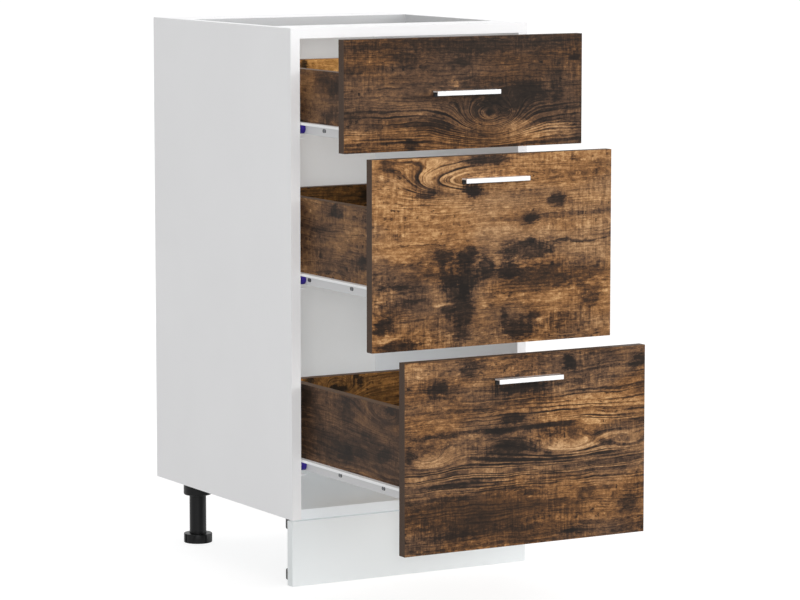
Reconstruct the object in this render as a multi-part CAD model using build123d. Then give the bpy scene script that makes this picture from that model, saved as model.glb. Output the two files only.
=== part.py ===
from build123d import *
from dataclasses import dataclass
from math import sqrt
import os

# Kitchen base cabinet with three drawers on roller runners. Millimetres.
# X runs to the right seen from the front, Y to the back, Z up, with the floor at Z = 0.
# The origin is on the floor, in the middle of the box that the cabinet fills with its drawers out.

# Carcass
cabinet_width = 400.0
carcass_depth = 445.0
carcass_height = 716.0
board = 15.0
front_rail_depth = 78.0
back_rail_depth = 108.0
back_thickness = 3.0
back_inset = 10.0
back_groove = 5.0
sheet_play = 0.2
worktop_hole_radius = 2.5
worktop_hole_spacing = 240.0

# Legs and plinth
leg_height = 99.0
leg_side_inset = 43.0
leg_front_inset = 54.0
leg_back_inset = 55.0
socket_radius = 22.0
socket_height = 24.0
socket_roof = 5.0
tube_radius = 13.0
foot_radius = 22.0
foot_height = 14.0
foot_stem_radius = 8.0
foot_stem_room = 6.0
foot_stop_gap = 0.2
thread_play = 0.1
plinth_thickness = 15.0
plinth_floor_gap = 1.0
plinth_top_gap = 2.0
clip_height = 20.0
clip_wall = 3.0
clip_pad_width = 40.0
clip_arm_width = 12.0
clip_mouth = 20.0

# Drawer fronts and handles
front_thickness = 15.0
front_side_reveal = 2.0
front_joint = 3.0
front_gap = 1.5
top_front_height = 160.0
top_reveal = 10.0
handle_length = 105.0
handle_depth = 13.0
handle_wall = 1.6
handle_lip = 6.3
handle_leg = 8.0
handle_leg_thickness = 3.0
handle_rounding = 0.8
low_handle_drop = 31.4

# Drawer boxes
runner_room = 12.5
box_back_room = 43.5
box_board = 15.0
low_side_height = 124.5
top_side_drop = 49.6
low_box_rise = 72.5
top_box_rise = 18.4
box_bottom_thickness = 3.0
box_bottom_rise = 10.0
box_groove = 6.0

# How far each drawer stands open, and how much of the box stays inside at full travel
opening_top = 136.5
opening_middle = 216.0
opening_bottom = 306.5
travel_loss = 75.0

# Roller runners: a rail on the carcass side and a runner on the drawer side
sheet = 1.2
fold_radius = 1.6
runner_rise = 15.8
lip_room = 2.0
runner_lip = 3.5
runner_foot = 10.0
lip_clearance = 1.6
rail_setback = 2.0
rail_room = 2.3
stop_lug = 3.0
stop_play = 0.4
roller_radius = 7.5
roller_gap = 0.3
roller_side_gap = 0.8
roller_window = 3.0
front_roller_inset = 1.5
rear_roller_inset = 2.5
axle_radius = 2.0
axle_play = 0.1

# Levels and planes that follow from these sizes
box_depth = carcass_depth - back_inset - back_thickness - box_back_room + front_gap
drawer_travel = box_depth - travel_loss
bottom_open = min(opening_bottom, drawer_travel)
middle_open = min(opening_middle, drawer_travel)
top_open = min(opening_top, drawer_travel)
front_reach = bottom_open + front_gap + front_thickness + handle_depth
front_y = (front_reach - carcass_depth) / 2
rear_y = front_y + carcass_depth
carcass_bottom = leg_height
carcass_top = leg_height + carcass_height
half_width = cabinet_width / 2
inner_half = half_width - board
box_half = inner_half - runner_room
box_inner_half = box_half - box_board
runner_reach = runner_room - lip_room
rail_reach = runner_room - sheet - rail_room
roller_near = box_half + sheet + roller_side_gap
roller_far = box_half + runner_reach - sheet - roller_side_gap
front_roller_y = front_y + front_roller_inset + roller_radius
low_front_height = (carcass_height - top_reveal - top_front_height - 2 * front_joint) / 2
low_step = low_front_height + front_joint
top_side_height = top_front_height - top_box_rise - top_side_drop
top_handle_drop = (top_front_height - handle_leg) / 2
SIDES = {"left": -1, "right": 1}


@dataclass
class Drawer:
    """One drawer: its name, the levels of its front and box, and how far it stands open."""

    name: str
    front_z: float
    front_height: float
    box_rise: float
    side_height: float
    handle_drop: float
    opening: float

    @property
    def seat(self):
        """Level of the lower edge of the box sides."""
        return self.front_z + self.box_rise

    @property
    def front_back(self):
        """Plane of the front's rear face, where the box starts."""
        return front_y - front_gap - self.opening

    @property
    def box_end(self):
        return self.front_back + box_depth

    @property
    def handle_top(self):
        return self.front_z + self.front_height - self.handle_drop


DRAWERS = [
    Drawer("bottom", carcass_bottom, low_front_height, low_box_rise, low_side_height, low_handle_drop,
           bottom_open),
    Drawer("middle", carcass_bottom + low_step, low_front_height, low_box_rise, low_side_height,
           low_handle_drop, middle_open),
    Drawer("top", carcass_bottom + 2 * low_step, top_front_height, top_box_rise, top_side_height,
           top_handle_drop, top_open),
]


def block(x0, x1, y0, y1, z0, z1):
    """A board between six planes."""
    return Pos((x0 + x1) / 2, (y0 + y1) / 2, (z0 + z1) / 2) * Box(x1 - x0, y1 - y0, z1 - z0)


def rod(radius, start, end):
    """A round bar between two points."""
    axis = Vector(end) - Vector(start)
    return Plane(origin=start, z_dir=axis) * Cylinder(
        radius, axis.length, align=(Align.CENTER, Align.CENTER, Align.MIN)
    )


def bent_sheet(skin, folds, side, start, end):
    """A folded sheet: XZ points of one skin, thickened to one side and run along Y.

    folds are the points of the skin that are outside corners, and get rounded.
    """
    section = make_face(offset(Polyline(*skin), amount=sheet, kind=Kind.INTERSECTION, side=side))
    corners = [section.vertices().sort_by_distance(point)[0] for point in folds]
    section = fillet(corners, fold_radius)
    return Pos(0, end, 0) * extrude(Plane.XZ * section, amount=end - start)


def mirrored(shape, side):
    """The left-hand shape, or its mirror image for the right-hand side."""
    return shape if side == "left" else mirror(shape, Plane.YZ)


def leg_axes():
    """The four leg axes by the name of their corner."""
    x = half_width - leg_side_inset
    rows = {"front": front_y + leg_front_inset, "back": rear_y - leg_back_inset}
    return {f"{row}_{side}": (sign * x, y) for row, y in rows.items() for side, sign in SIDES.items()}


def carcass():
    """Sides, bottom, top rails and back, with the back's groove round it."""
    back_front = rear_y - back_inset - back_thickness
    back_rear = rear_y - back_inset
    groove_low = carcass_bottom + board - back_groove
    groove_high = carcass_top - board + back_groove
    groove = block(-inner_half - back_groove, inner_half + back_groove, back_front - sheet_play / 2,
                   back_rear + sheet_play / 2, groove_low, groove_high)
    pieces = {}
    for side, sign in SIDES.items():
        inner, outer = sorted((sign * inner_half, sign * half_width))
        panel = block(inner, outer, front_y, rear_y, carcass_bottom, carcass_top)
        pieces[f"side_panel_{side}"] = panel - groove

    bottom = block(-inner_half, inner_half, front_y, rear_y, carcass_bottom, carcass_bottom + board)
    pieces["bottom_panel"] = bottom - groove

    rails = {
        "front_top_rail": (front_y, front_y + front_rail_depth),
        "back_top_rail": (rear_y - back_rail_depth, rear_y),
    }
    for name, (y0, y1) in rails.items():
        rail = block(-inner_half, inner_half, y0, y1, carcass_top - board, carcass_top) - groove
        for sign in SIDES.values():
            x = sign * worktop_hole_spacing / 2
            middle = (y0 + y1) / 2
            rail -= rod(worktop_hole_radius, (x, middle, carcass_top - board), (x, middle, carcass_top))
        pieces[name] = rail

    edge = back_groove - sheet_play
    pieces["back_panel"] = block(-inner_half - edge, inner_half + edge, back_front, back_rear,
                                 groove_low + sheet_play, groove_high - sheet_play)
    return pieces


def leg_socket(x, y):
    """A moulded cup under the bottom panel that a leg is pushed into."""
    low = carcass_bottom - socket_height
    cup = rod(socket_radius, (x, y, low), (x, y, carcass_bottom))
    return cup - rod(tube_radius + thread_play, (x, y, low), (x, y, carcass_bottom - socket_roof))


def leg_tube(x, y):
    """The leg: a tube seated in its socket, bored for the foot's stem."""
    low = foot_height + foot_stop_gap
    high = carcass_bottom - socket_roof
    return rod(tube_radius, (x, y, low), (x, y, high)) - rod(
        foot_stem_radius + thread_play, (x, y, low), (x, y, high)
    )


def foot(x, y):
    """A levelling foot: a disc on the stem that turns in the leg."""
    disc = rod(foot_radius, (x, y, 0), (x, y, foot_height))
    stem_top = carcass_bottom - socket_roof - foot_stem_room
    return disc + rod(foot_stem_radius, (x, y, 0), (x, y, stem_top))


def plinth_clip(x, y, plinth_back):
    """A snap clip: a ring open to the rear on the leg, and a pad on the back of the plinth.

    It sits halfway up the free length of the leg.
    """
    outer = tube_radius + thread_play + clip_wall
    pad = Rectangle(clip_pad_width, clip_wall, align=(Align.CENTER, Align.MIN))
    arm = Rectangle(clip_arm_width, y - plinth_back, align=(Align.CENTER, Align.MIN))
    mouth = Rectangle(clip_mouth, outer, align=(Align.CENTER, Align.MIN))
    outline = Pos(x, plinth_back) * (pad + arm) + Pos(x, y) * Circle(outer)
    outline -= Pos(x, y) * (Circle(tube_radius + thread_play) + mouth)
    level = (foot_height + carcass_bottom - socket_height - clip_height) / 2
    return Pos(0, 0, level) * extrude(outline, amount=clip_height)


def legs_and_plinth():
    """Sockets, leg tubes, feet, the plinth and its clips."""
    axes = leg_axes()
    plinth_back = front_y + plinth_thickness
    fronts = [place for name, place in axes.items() if name.startswith("front")]
    pieces = {
        "leg_sockets": Compound([leg_socket(x, y) for x, y in axes.values()]),
        "leg_tubes": Compound([leg_tube(x, y) for x, y in axes.values()]),
        "plinth": block(-half_width, half_width, front_y, plinth_back, plinth_floor_gap,
                        carcass_bottom - plinth_top_gap),
        "plinth_clips": Compound([plinth_clip(x, y, plinth_back) for x, y in fronts]),
    }
    for name, (x, y) in axes.items():
        pieces[f"foot_{name}"] = foot(x, y)
    return pieces


def rail_levels(drawer):
    """Underside and top of a drawer's rails, and the levels of its front and rear axles."""
    top = drawer.seat + runner_rise - runner_lip - lip_clearance
    rear_axle = top - sheet - roller_gap - roller_radius
    underside = rear_axle - roller_radius - roller_gap - sheet
    front_axle = drawer.seat + runner_rise - sheet - roller_gap - roller_radius
    return underside, top, front_axle, rear_axle


def rear_axle_y(drawer):
    return drawer.box_end - rear_roller_inset - roller_radius


def axle(y, z, root, end):
    """A pin riveted into a sheet at root, as long as its roller needs."""
    return rod(axle_radius, (root, y, z), (end, y, z))


def roller(y, z):
    """A left-hand roller with the bore for its axle."""
    wheel = rod(roller_radius, (-roller_far, y, z), (-roller_near, y, z))
    return wheel - rod(axle_radius + axle_play, (-roller_far, y, z), (-roller_near, y, z))


def cabinet_rail(drawer):
    """The left rail: a channel on the side panel, with its front axle, stop lug and end stop."""
    low, top, front_axle, rear_axle = rail_levels(drawer)
    wall = -inner_half
    lip = wall + rail_reach
    start = front_y + rail_setback
    end = start + box_depth
    folds = [(wall, low), (wall, top)]
    skin = [(lip, low), *folds, (lip, top)]
    rail = bent_sheet(skin, folds, Side.RIGHT, start, end)

    window_end = front_roller_y + roller_radius + roller_window
    rail -= block(wall + sheet, lip, start, window_end, rear_axle, top)
    rail += axle(front_roller_y, front_axle, wall + sheet / 2, -roller_near)

    floor = low + sheet
    rail += block(wall, lip, end - sheet, end, low + sheet / 2, top - sheet / 2)
    clear = roller_radius + roller_gap - stop_lug
    touch = sqrt(roller_radius**2 - clear**2)
    lug_end = rear_axle_y(drawer) + drawer.opening - drawer_travel - touch - stop_play
    return rail + block(wall + sheet / 2, lip, lug_end - sheet, lug_end, low + sheet / 2, floor + stop_lug)


def drawer_runner(drawer):
    """The left runner: foot under the side, web on the side, track and lip over the front roller."""
    _, _, _, rear_axle = rail_levels(drawer)
    face = -box_half
    rim = face - runner_reach
    track = drawer.seat + runner_rise
    folds = [(face, track), (rim, track)]
    foot_edge = [(face + runner_foot, drawer.seat), (face, drawer.seat)]
    skin = [*foot_edge, *folds, (rim, track - runner_lip)]
    runner = bent_sheet(skin, folds, Side.LEFT, drawer.front_back, drawer.box_end)
    return runner + axle(rear_axle_y(drawer), rear_axle, face - sheet / 2, -roller_far)


def drawer_runners(drawer):
    """Rails, runners and both pairs of rollers of one drawer."""
    _, _, front_axle, rear_axle = rail_levels(drawer)
    front_roller = roller(front_roller_y, front_axle)
    rear_roller = roller(rear_axle_y(drawer), rear_axle)
    pieces = {}
    for side in SIDES:
        pieces[f"cabinet_rail_{drawer.name}_{side}"] = mirrored(cabinet_rail(drawer), side)
        pieces[f"drawer_{drawer.name}_runner_{side}"] = mirrored(drawer_runner(drawer), side)
    for name, wheel in {"front_rollers": front_roller, "rear_rollers": rear_roller}.items():
        pieces[f"drawer_{drawer.name}_{name}"] = Compound([mirrored(wheel, side) for side in SIDES])
    return pieces


def handle(drawer):
    """A bar pull: a leg on the front, a flat top and a lip that hangs down for the fingers."""
    face = drawer.front_back - front_thickness
    top = drawer.handle_top
    tip = face - handle_depth
    outline = Polyline(
        (face, top), (tip, top), (tip, top - handle_lip), (tip + handle_wall, top - handle_lip),
        (tip + handle_wall, top - handle_wall), (face - handle_leg_thickness, top - handle_wall),
        (face - handle_leg_thickness, top - handle_leg), (face, top - handle_leg), close=True,
    )
    section = make_face(outline)
    corner = section.vertices().sort_by_distance((tip, top, 0))[0]
    section = fillet(corner, handle_rounding)
    return extrude(Plane.YZ * section, amount=handle_length / 2, both=True)


def drawer_box(drawer):
    """The front, the box boards with their grooves, the bottom sheet and the handle."""
    start, end, low = drawer.front_back, drawer.box_end, drawer.seat
    high = low + drawer.side_height
    back_face = end - box_board
    floor = low + box_bottom_rise
    groove_half = box_inner_half + box_groove
    groove = block(-groove_half, groove_half, start - box_groove, back_face + box_groove,
                   floor - sheet_play / 2, floor + box_bottom_thickness + sheet_play / 2)

    front_half = half_width - front_side_reveal
    front = block(-front_half, front_half, start - front_thickness, start, drawer.front_z,
                  drawer.front_z + drawer.front_height) - groove
    left = block(-box_half, -box_inner_half, start, end, low, high) - groove
    edge = box_groove - sheet_play
    pieces = {
        "front": front,
        "back": block(-box_inner_half, box_inner_half, back_face, end, low, high) - groove,
        "bottom": block(-box_inner_half - edge, box_inner_half + edge, start - edge, back_face + edge,
                        floor, floor + box_bottom_thickness),
        "handle": handle(drawer),
    }
    for side in SIDES:
        pieces[f"side_{side}"] = mirrored(left, side)
    return {f"drawer_{drawer.name}_{name}": piece for name, piece in pieces.items()}


def build():
    """Every piece of the cabinet by its node name."""
    pieces = carcass() | legs_and_plinth()
    for drawer in DRAWERS:
        pieces |= drawer_box(drawer) | drawer_runners(drawer)
    return pieces


os.makedirs("parts", exist_ok=True)
for name, piece in build().items():
    export_step(piece, f"parts/{name}.step")
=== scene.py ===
"""Dresses a kitchen base cabinet with three drawers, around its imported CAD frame."""

import logging
import math
from collections.abc import Callable, Iterable, Sequence
from dataclasses import dataclass, field
from enum import Enum

import bpy
from mathutils import Matrix, Vector


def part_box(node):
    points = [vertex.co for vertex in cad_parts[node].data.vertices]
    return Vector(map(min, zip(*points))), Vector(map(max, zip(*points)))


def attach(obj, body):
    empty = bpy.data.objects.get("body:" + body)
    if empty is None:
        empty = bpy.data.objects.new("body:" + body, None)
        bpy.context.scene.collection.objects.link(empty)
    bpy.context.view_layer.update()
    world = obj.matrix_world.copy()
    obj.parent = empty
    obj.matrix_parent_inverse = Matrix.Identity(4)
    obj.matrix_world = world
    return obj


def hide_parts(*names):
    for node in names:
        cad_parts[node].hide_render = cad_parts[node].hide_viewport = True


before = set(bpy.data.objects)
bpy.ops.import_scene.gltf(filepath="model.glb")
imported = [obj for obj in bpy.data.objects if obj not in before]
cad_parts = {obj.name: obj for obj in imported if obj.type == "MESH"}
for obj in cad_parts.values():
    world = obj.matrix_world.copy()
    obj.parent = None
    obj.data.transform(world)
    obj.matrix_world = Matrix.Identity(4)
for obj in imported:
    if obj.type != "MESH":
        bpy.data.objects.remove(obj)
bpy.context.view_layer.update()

log = logging.getLogger("cabinet")
MM = 0.001
NEAR = 0.01 * MM  # places closer than this are the same
FLAT = 0.99  # a face with this share of an axis in its normal looks along that axis
TOWARDS, AGAINST = (0.6, 0.8), (-0.6, -0.8)  # soft steps of a normal along an axis and against it
SIDES = {"left": -1, "right": 1}
WHITE = (1.0, 1.0, 1.0, 1.0)

Colour = tuple[float, ...]
Group = bpy.types.NodeTree
Material = bpy.types.Material
Piece = bpy.types.Object
Socket = bpy.types.NodeSocket
Feed = Socket | float | Sequence[float] | None


def tint(red: int, green: int, blue: int) -> Colour:
    """Turns screen levels of 0 to 255 into a linear colour.

    Args:
        red: Screen level of red.
        green: Screen level of green.
        blue: Screen level of blue.

    Returns:
        Linear red, green, blue and an alpha of 1.
    """
    levels = [level / 255 for level in (red, green, blue)]
    linear = [v / 12.92 if v <= 0.04045 else ((v + 0.055) / 1.055) ** 2.4 for v in levels]
    return (*linear, 1.0)


class Noise(Enum):
    """Noises of the finishes: swings per millimetre on each axis, octaves, strength of the finer ones."""

    BROAD_PUSH = (0.022, 0.045, 0.03, 2.0, 0.5)
    FINE_PUSH = (0.11, 0.24, 0.1, 3.0, 0.65)
    WAVE = (0.0045, 0.011, 0.01, 2.0, 0.5)
    RIPPLE = (0.022, 0.05, 0.02, 2.0, 0.5)
    FINE_LINE = (0.006, 0.3, 0.05, 2.0, 0.6)
    FIBRE = (0.055, 1.5, 0.3, 3.0, 0.6)
    SAWN = (0.011, 0.018, 0.02, 2.0, 0.5)
    TEETH = (0.26, 0.03, 0.1, 3.0, 0.7)
    OAK_CLOUD = (0.008, 0.021, 0.02, 5.0, 0.62)
    MOTTLE = (0.1, 0.15, 0.05, 5.0, 0.8)
    CROWDED = (0.012, 0.022, 0.02, 2.0, 0.5)
    GRIT = (0.09, 0.42, 0.1, 3.0, 0.65)
    SEAM = (0.006, 0.07, 0.02, 2.0, 0.5)
    FRAY = (0.085, 0.24, 0.1, 4.0, 0.7)
    CAST = (0.006, 0.013, 0.01, 2.0, 0.5)
    SKIN_CLOUD = (0.006, 0.006, 0.006, 3.0, 0.5)
    CHIP_GRIT = (0.8, 0.8, 0.8, 3.0, 0.7)
    HAIR = (0.35, 0.35, 0.35, 5.0, 0.75)
    PLATE = (1.5, 1.5, 1.5, 3.0, 0.6)
    DRAWN = (0.03, 2.2, 2.2, 3.0, 0.6)
    # Mottle of the painted shade on the pulls.
    UNPLATED = (0.2, 0.4, 3.0, 2.0, 0.5)


class Graph:
    """A node tree, with short calls for the nodes that the finishes are made of."""

    def __init__(self, tree: Group) -> None:
        """Keeps the tree that nodes are added to."""
        self.tree = tree

    def add(self, kind: str, *feeds: Feed, **settings: object) -> bpy.types.Node:
        """Adds a node.

        Args:
            kind: Blender's name of the node type.
            feeds: What goes into its inputs, in their order; None leaves one as it is.
            settings: Properties of the node.

        Returns:
            The new node.
        """
        made = self.tree.nodes.new(kind)
        for name, value in settings.items():
            setattr(made, name, value)
        for socket, value in zip(made.inputs, feeds):
            self.feed(socket, value)
        return made

    def feed(self, socket: Socket, value: Feed) -> None:
        """Links a socket to another one, or sets its own value.

        Args:
            socket: The input.
            value: What goes into it; None leaves it as it is.
        """
        if isinstance(value, Socket):
            self.tree.links.new(value, socket)
        elif value is not None:
            socket.default_value = value

    def math(self, operation: str, *feeds: Feed) -> Socket:
        """Adds a Math node and gives its value."""
        return self.add("ShaderNodeMath", *feeds, operation=operation).outputs[0]

    def times(self, value: Feed, gain: Feed) -> Socket:
        """Multiplies two values."""
        return self.math("MULTIPLY", value, gain)

    def total(self, first: Feed, *rest: Feed) -> Feed:
        """Adds values up.

        Args:
            first: The value to start from.
            rest: What is added to it.

        Returns:
            The sum, or the first value where it stands alone.
        """
        for value in rest:
            first = self.math("ADD", first, value)
        return first

    def swing(self, value: Feed, gain: float) -> Socket:
        """Turns a noise value round a half into a swing of both signs."""
        return self.times(self.math("SUBTRACT", value, 0.5), gain)

    def ramp(self, value: Feed, low: float, high: float) -> Socket:
        """Gives a soft step from 0 at low to 1 at high."""
        return self.add("ShaderNodeMapRange", value, low, high, 0.0, 1.0,
                        interpolation_type="SMOOTHSTEP").outputs[0]

    def vector(self, operation: str, *feeds: Feed) -> Socket:
        """Adds a Vector Math node and gives its vector, or its value where it has no vector."""
        made = self.add("ShaderNodeVectorMath", *feeds, operation=operation)
        return made.outputs[1 if operation in ("LENGTH", "DOT_PRODUCT") else 0]

    def parts(self, value: Feed) -> Sequence[Socket]:
        """Splits a vector into X, Y and Z."""
        return self.add("ShaderNodeSeparateXYZ", value).outputs

    def join(self, *values: Feed) -> Socket:
        """Makes a vector of X, Y and Z."""
        return self.add("ShaderNodeCombineXYZ", *values).outputs[0]

    def noise(self, place: Feed, recipe: Noise, colour: bool = False) -> Socket:
        """Adds a noise that is stretched by its own scale on each axis.

        Args:
            place: Where on the piece, in millimetres.
            recipe: Which noise.
            colour: Whether it gives three values, as a colour, and not one.

        Returns:
            The noise's value or colour.
        """
        *scale, octaves, rough = recipe.value
        stretched = self.vector("MULTIPLY", place, scale)
        made = self.add("ShaderNodeTexNoise", stretched, None, 1.0, octaves, rough)
        return made.outputs[1 if colour else 0]

    def mix(self, share: Feed, low: Feed, high: Feed) -> Socket:
        """Mixes two colours.

        Args:
            share: How much of the second colour there is, from 0 to 1.
            low: The first colour.
            high: The second colour.

        Returns:
            The mixed colour.
        """
        made = self.add("ShaderNodeMix", data_type="RGBA")
        for index, value in ((0, share), (6, low), (7, high)):  # its colours come after values and vectors
            self.feed(made.inputs[index], value)
        return made.outputs[2]

    def colours(self, value: Feed, places: Sequence[float], row: Sequence[Colour]) -> Socket:
        """Turns a value into a colour by a row of stops.

        Args:
            value: The value, from 0 to 1.
            places: The value of each stop.
            row: The colour of each stop.

        Returns:
            The colour.
        """
        made = self.add("ShaderNodeValToRGB", value)
        stops = made.color_ramp.elements
        while len(stops) < len(row):
            stops.new(1.0)
        for stop, at, colour in zip(stops, places, row):
            stop.position = at
            stop.color = colour
        return made.outputs[0]

    def effect(self, tree: Group, **feeds: Feed) -> Sequence[Socket]:
        """Places a shared effect.

        Args:
            tree: The effect's group.
            feeds: What goes into its inputs, by name.

        Returns:
            Its outputs, which go by number or by name.
        """
        made = self.add("ShaderNodeGroup", node_tree=tree)
        for name, value in feeds.items():
            self.feed(made.inputs[name], value)
        return made.outputs


class Kind(Enum):
    """Kinds of socket on a shared effect."""

    VALUE = "NodeSocketFloat"
    VECTOR = "NodeSocketVector"


class Effects:
    """The effects that several finishes share, each a node group that is built once."""

    def __init__(self) -> None:
        """Builds every group."""
        self.ragged = self.build_ragged()
        self.patch = self.build_patch()
        self.swirl = self.build_swirl()
        self.oak = self.build_oak()
        self.peel = self.build_peel()

    @staticmethod
    def open(name: str, takes: dict[str, Kind], gives: dict[str, Kind]) -> tuple[
            Graph, dict[str, Socket], Callable[..., Group]]:
        """Starts a group.

        Args:
            name: The group's name.
            takes: Its inputs by name.
            gives: Its outputs by name, in order.

        Returns:
            The graph to work in, the inputs' sockets by name, and a call that closes the group
            with a socket for each output.
        """
        tree = bpy.data.node_groups.new(name, "ShaderNodeTree")
        for way, sockets in (("INPUT", takes), ("OUTPUT", gives)):
            for label, kind in sockets.items():
                tree.interface.new_socket(name=label, in_out=way, socket_type=kind.value)
        graph = Graph(tree)
        entry = graph.add("NodeGroupInput")

        def close(*sockets: Socket) -> Group:
            """Links the outputs and gives the finished group."""
            graph.add("NodeGroupOutput", *sockets)
            return tree

        return graph, {label: entry.outputs[label] for label in takes}, close

    def build_ragged(self) -> Group:
        """Pushes places about, so that what is drawn there gets a ragged edge.

        Returns:
            The group.
        """
        g, take, close = self.open("ragged_edge", {"Place": Kind.VECTOR, "Reach": Kind.VALUE},
                                   {"Place": Kind.VECTOR})
        place = take["Place"]
        broad, fine = (g.vector("SUBTRACT", g.noise(place, recipe, colour=True), (0.5, 0.5, 0.5))
                       for recipe in (Noise.BROAD_PUSH, Noise.FINE_PUSH))
        push = g.vector("ADD", broad, g.vector("MULTIPLY", fine, (0.7, 0.5, 0.0)))
        return close(g.vector("ADD", place, g.vector("SCALE", push, None, None, take["Reach"])))

    def build_patch(self) -> Group:
        """Draws an oval patch: a core in a wide thin halo, both frayed at the edge.

        Returns:
            The group.
        """
        g, take, close = self.open(
            "oval_patch", {"Place": Kind.VECTOR, "Centre": Kind.VECTOR, "Half": Kind.VECTOR,
                           "Fray": Kind.VALUE}, {"Mask": Kind.VALUE})
        away = g.vector("DIVIDE", g.vector("SUBTRACT", take["Place"], take["Centre"]), take["Half"])
        far = g.vector("LENGTH", g.vector("MULTIPLY", away, (1.0, 1.0, 0.0)))
        far = g.total(far, take["Fray"])
        core = g.times(g.ramp(far, 1.15, 0.6), 0.68)
        halo = g.times(g.ramp(far, 1.9, 0.5), 0.32)
        return close(g.total(core, halo))

    def build_swirl(self) -> Group:
        """Raises a hill on the slope of the grain, which its lines run round as round a knot.

        Returns:
            The group.
        """
        g, take, close = self.open(
            "grain_swirl", {"Place": Kind.VECTOR, "Centre": Kind.VECTOR, "Reach": Kind.VECTOR,
                            "Tail": Kind.VALUE, "Height": Kind.VALUE}, {"Rise": Kind.VALUE})
        away = g.vector("DIVIDE", g.vector("SUBTRACT", take["Place"], take["Centre"]), take["Reach"])
        x, y, _ = g.parts(away)
        ahead = g.times(g.math("MAXIMUM", x, 0.0), take["Tail"])
        along = g.total(ahead, g.math("MINIMUM", x, 0.0))
        far = g.vector("LENGTH", g.join(along, y, 0.0))
        bell = g.math("POWER", math.e, g.times(g.times(far, far), -1.0))
        return close(g.times(bell, take["Height"]))

    def build_oak(self) -> Group:
        """Draws the oak print: ring lines, fibres, saw marks and clouds of tone.

        Returns:
            The group.
        """
        gives = ("Lines", "Fibre", "Saw", "Cloud", "Mottle", "Fleck", "Fray")
        g, take, close = self.open(
            "oak_print", {"Place": Kind.VECTOR, "Rise": Kind.VALUE, "Spacing": Kind.VALUE},
            dict.fromkeys(gives, Kind.VALUE))
        place = take["Place"]
        x, y, z = g.parts(place)
        wave = g.swing(g.noise(place, Noise.WAVE), 30.0)
        ripple = g.swing(g.noise(place, Noise.RIPPLE), 7.0)
        level = g.total(y, wave, ripple, take["Rise"])
        crowd = g.add("ShaderNodeTexNoise", None, g.times(level, 0.045), 1.0, 2.0, 0.6,
                      noise_dimensions="1D").outputs[0]
        level = g.total(level, g.swing(crowd, 26.0))
        ring = g.math("DIVIDE", level, take["Spacing"])
        share = g.math("FRACT", ring)
        edge = g.times(g.ramp(share, 0.42, 0.9), g.ramp(share, 1.0, 0.94))
        along = g.join(g.times(x, 0.011), g.math("FLOOR", ring), 0.0)
        bold = g.ramp(g.add("ShaderNodeTexNoise", along, None, 1.0, 2.0, 0.5).outputs[0], 0.36, 0.66)
        flow = g.join(x, level, z)
        fine = g.ramp(g.noise(flow, Noise.FINE_LINE), 0.46, 0.66)
        lines = g.total(g.times(edge, bold), g.times(fine, 0.6))
        sawn = g.ramp(g.noise(place, Noise.SAWN), 0.4, 0.64)
        teeth = g.swing(g.noise(place, Noise.TEETH), 1.0)
        saw = g.total(g.times(teeth, sawn), 0.5)
        crowded = g.ramp(g.noise(place, Noise.CROWDED), 0.36, 0.62)
        grit = g.noise(flow, Noise.GRIT)
        dashes = g.ramp(grit, 0.56, 0.72)
        seam = g.math("ABSOLUTE", g.swing(g.noise(flow, Noise.SEAM), 1.0))
        seam = g.times(g.ramp(seam, 0.014, 0.0), g.ramp(dashes, 0.0, 0.4))
        fleck = g.total(g.times(dashes, crowded), g.times(seam, 0.6),
                        g.times(g.ramp(grit, 0.42, 0.26), -0.5))
        fray = g.total(g.swing(g.noise(place, Noise.FRAY), 1.5), g.swing(saw, 0.6))
        return close(lines, g.noise(flow, Noise.FIBRE), saw, g.noise(flow, Noise.OAK_CLOUD),
                     g.noise(place, Noise.MOTTLE), fleck, fray)

    def build_peel(self) -> Group:
        """Draws the faint unevenness of a pressed, painted or moulded skin.

        Returns:
            The group.
        """
        g, take, close = self.open("skin_peel", {"Place": Kind.VECTOR, "Grain": Kind.VALUE},
                                   dict.fromkeys(("Height", "Speck", "Cloud"), Kind.VALUE))
        spread = g.vector("SCALE", take["Place"], None, None, take["Grain"])
        height = g.add("ShaderNodeTexNoise", spread, None, 1.0, 2.0, 0.5).outputs[0]
        speck = g.ramp(g.add("ShaderNodeTexNoise", spread, None, 3.1, 1.0, 0.4).outputs[0], 0.62, 0.74)
        return close(height, speck, g.noise(take["Place"], Noise.SKIN_CLOUD))


EFFECTS = Effects()


class Run(Enum):
    """Which way a board's print runs: (along, across, through) as axes of the cabinet."""

    ACROSS_CABINET = (0, 2, 1)
    ALONG_DRAWER = (1, 2, 0)


@dataclass(frozen=True)
class Patch:
    """A darker or paler patch of the print, in millimetres from the board's centre."""

    along: float
    across: float
    half_length: float
    half_height: float
    shade: float


@dataclass(frozen=True)
class Swirl:
    """A knot that the lines run round, or a tongue where its tail is under 1; in millimetres."""

    along: float
    across: float
    reach_along: float
    reach_across: float
    rise: float
    tail: float = 1.0


@dataclass(frozen=True)
class OakPrint:
    """How one board's print is laid out: its tone, its lines and what marks it."""

    seed: float
    shade: float
    lines: float = 0.3
    spacing: float = 6.0
    clouds: float = 0.75
    grit: float = 1.55
    cast: float = 0.0
    ragged: float = 26.0
    patches: tuple[Patch, ...] = ()
    swirls: tuple[Swirl, ...] = ()
    bold: tuple[Patch, ...] = ()
    calm: tuple[Patch, ...] = ()


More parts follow.
